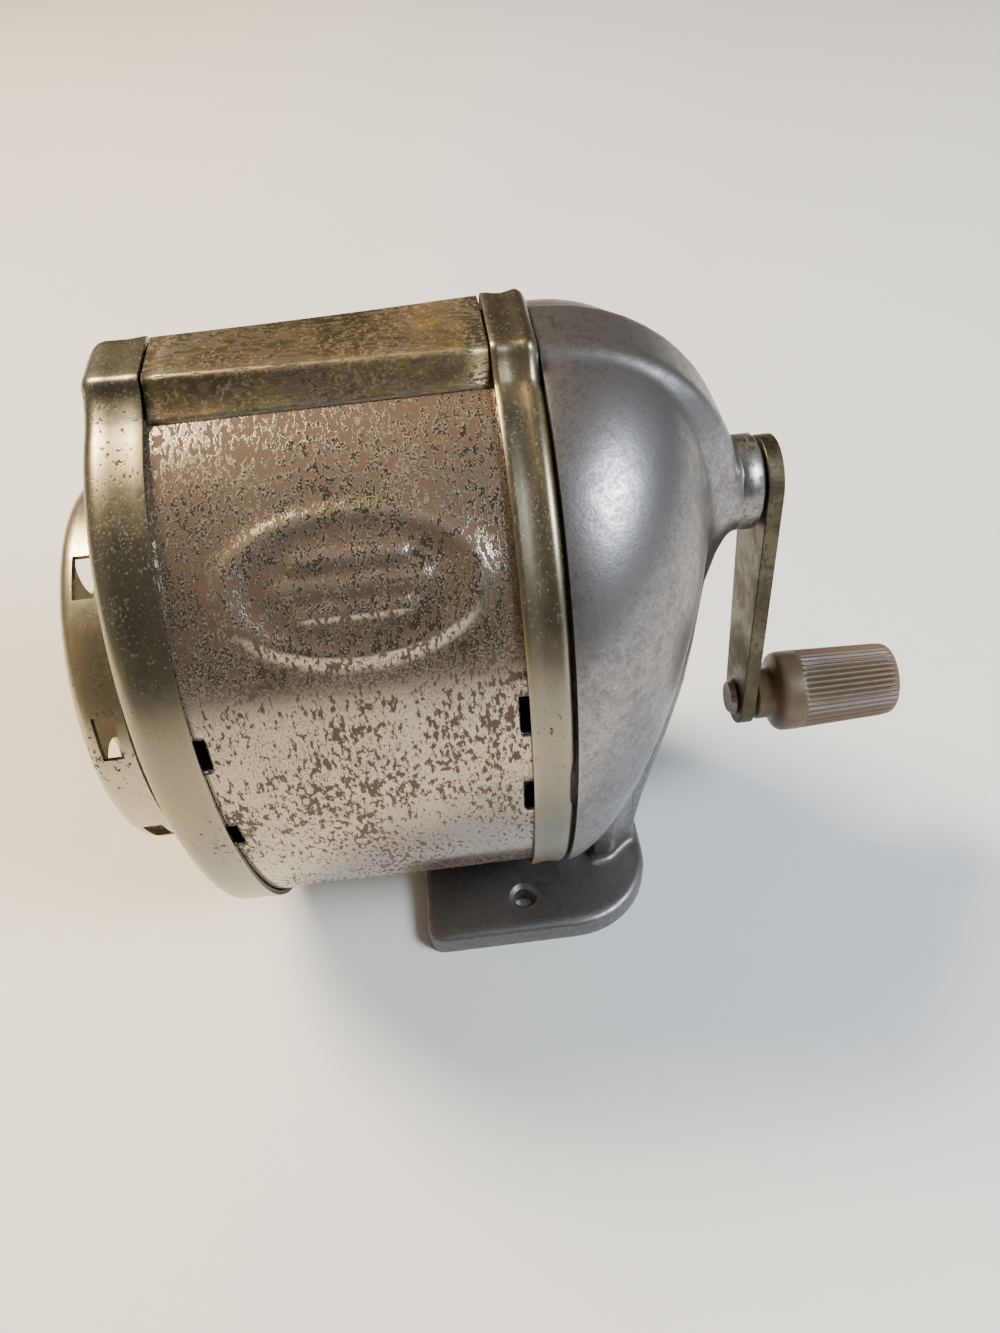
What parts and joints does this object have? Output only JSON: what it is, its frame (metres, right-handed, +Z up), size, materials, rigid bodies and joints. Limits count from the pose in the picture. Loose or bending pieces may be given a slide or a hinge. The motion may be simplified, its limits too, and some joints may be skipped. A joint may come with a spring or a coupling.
{
  "type": "crank pencil sharpener",
  "caption": "Desk or wall mount crank pencil sharpener: cast rear housing on a screw-down foot, chip drum with size dial, geared cutter head, crank with a turning grip.",
  "frame": {"origin": "on the underside of the foot, below the spindle, in the plane of the front edge of the chip drum's rear band", "axes": "+X along the spindle from the pencil entry to the crank, +Z up, +Y to the side that completes a right-handed frame"},
  "size_m": [0.1296, 0.077, 0.107],
  "materials": {
    "hammered_grey": "silver-grey metallic paint on a die casting, satin",
    "nickel": "aged satin nickel plate, a few specks",
    "peppered_nickel": "bright nickel plate peppered with small brown rust specks",
    "tool_steel": "machined steel",
    "old_steel": "aged plated steel, brownish",
    "bronze": "plain turned bronze",
    "brown_plastic": "moulded brown plastic"
  },
  "bodies": {
    "housing": {"housing_casting": "hammered_grey", "ring_gear": "tool_steel", "spindle_bushing": "bronze", "drum_catch_near": "tool_steel", "drum_catch_far": "tool_steel", "catch_rivet_near": "tool_steel", "catch_rivet_far": "tool_steel"},
    "crank": {"drive_shaft": "tool_steel", "thrust_washer": "bronze", "cutter_carrier": "old_steel", "pencil_guide": "bronze", "cutter_axle_upper": "tool_steel", "cutter_axle_lower": "tool_steel", "crank_arm": "old_steel", "handle_rivet": "tool_steel"},
    "upper_cutter": {"cutter_upper": "tool_steel", "pinion_upper": "tool_steel"},
    "lower_cutter": {"cutter_lower": "tool_steel", "pinion_lower": "tool_steel"},
    "handle": {"handle_grip": "brown_plastic"},
    "drum": {"front_cap": "nickel", "drum_sheet": "peppered_nickel", "top_channel": "peppered_nickel", "rear_band": "nickel", "dial_rivet": "old_steel", "dial_spring": "tool_steel", "entry_ferrule": "nickel"},
    "dial": {"size_dial": "nickel"}
  },
  "joints": [
    {"name": "crank_turn", "type": "hinge", "parent": "housing", "child": "crank", "pos_m": [0.0386, 0, 0.0773], "axis": [1, 0, 0], "continuous": true},
    {"name": "upper_cutter_spin", "type": "hinge", "parent": "crank", "child": "upper_cutter", "pos_m": [0, 0, 0.08308], "axis": [0.9833, 0, -0.1822], "continuous": true},
    {"name": "lower_cutter_spin", "type": "hinge", "parent": "crank", "child": "lower_cutter", "pos_m": [0, 0, 0.07152], "axis": [0.9833, 0, 0.1822], "continuous": true},
    {"name": "handle_spin", "type": "hinge", "parent": "crank", "child": "handle", "pos_m": [0.0543, -0.00847, 0.03811], "axis": [1, 0, 0], "continuous": true},
    {"name": "drum_pull", "type": "slide", "parent": "housing", "child": "drum", "axis": [-1, 0, 0], "range_m": [0, 0.06]},
    {"name": "dial_turn", "type": "hinge", "parent": "drum", "child": "dial", "pos_m": [-0.0617, 0, 0.0555], "axis": [1, 0, 0], "continuous": true}
  ],
  "couplings": [
    {"joint": "upper_cutter_spin", "follows": "crank_turn", "ratio": -2.1667},
    {"joint": "lower_cutter_spin", "follows": "crank_turn", "ratio": -2.1667}
  ]
}
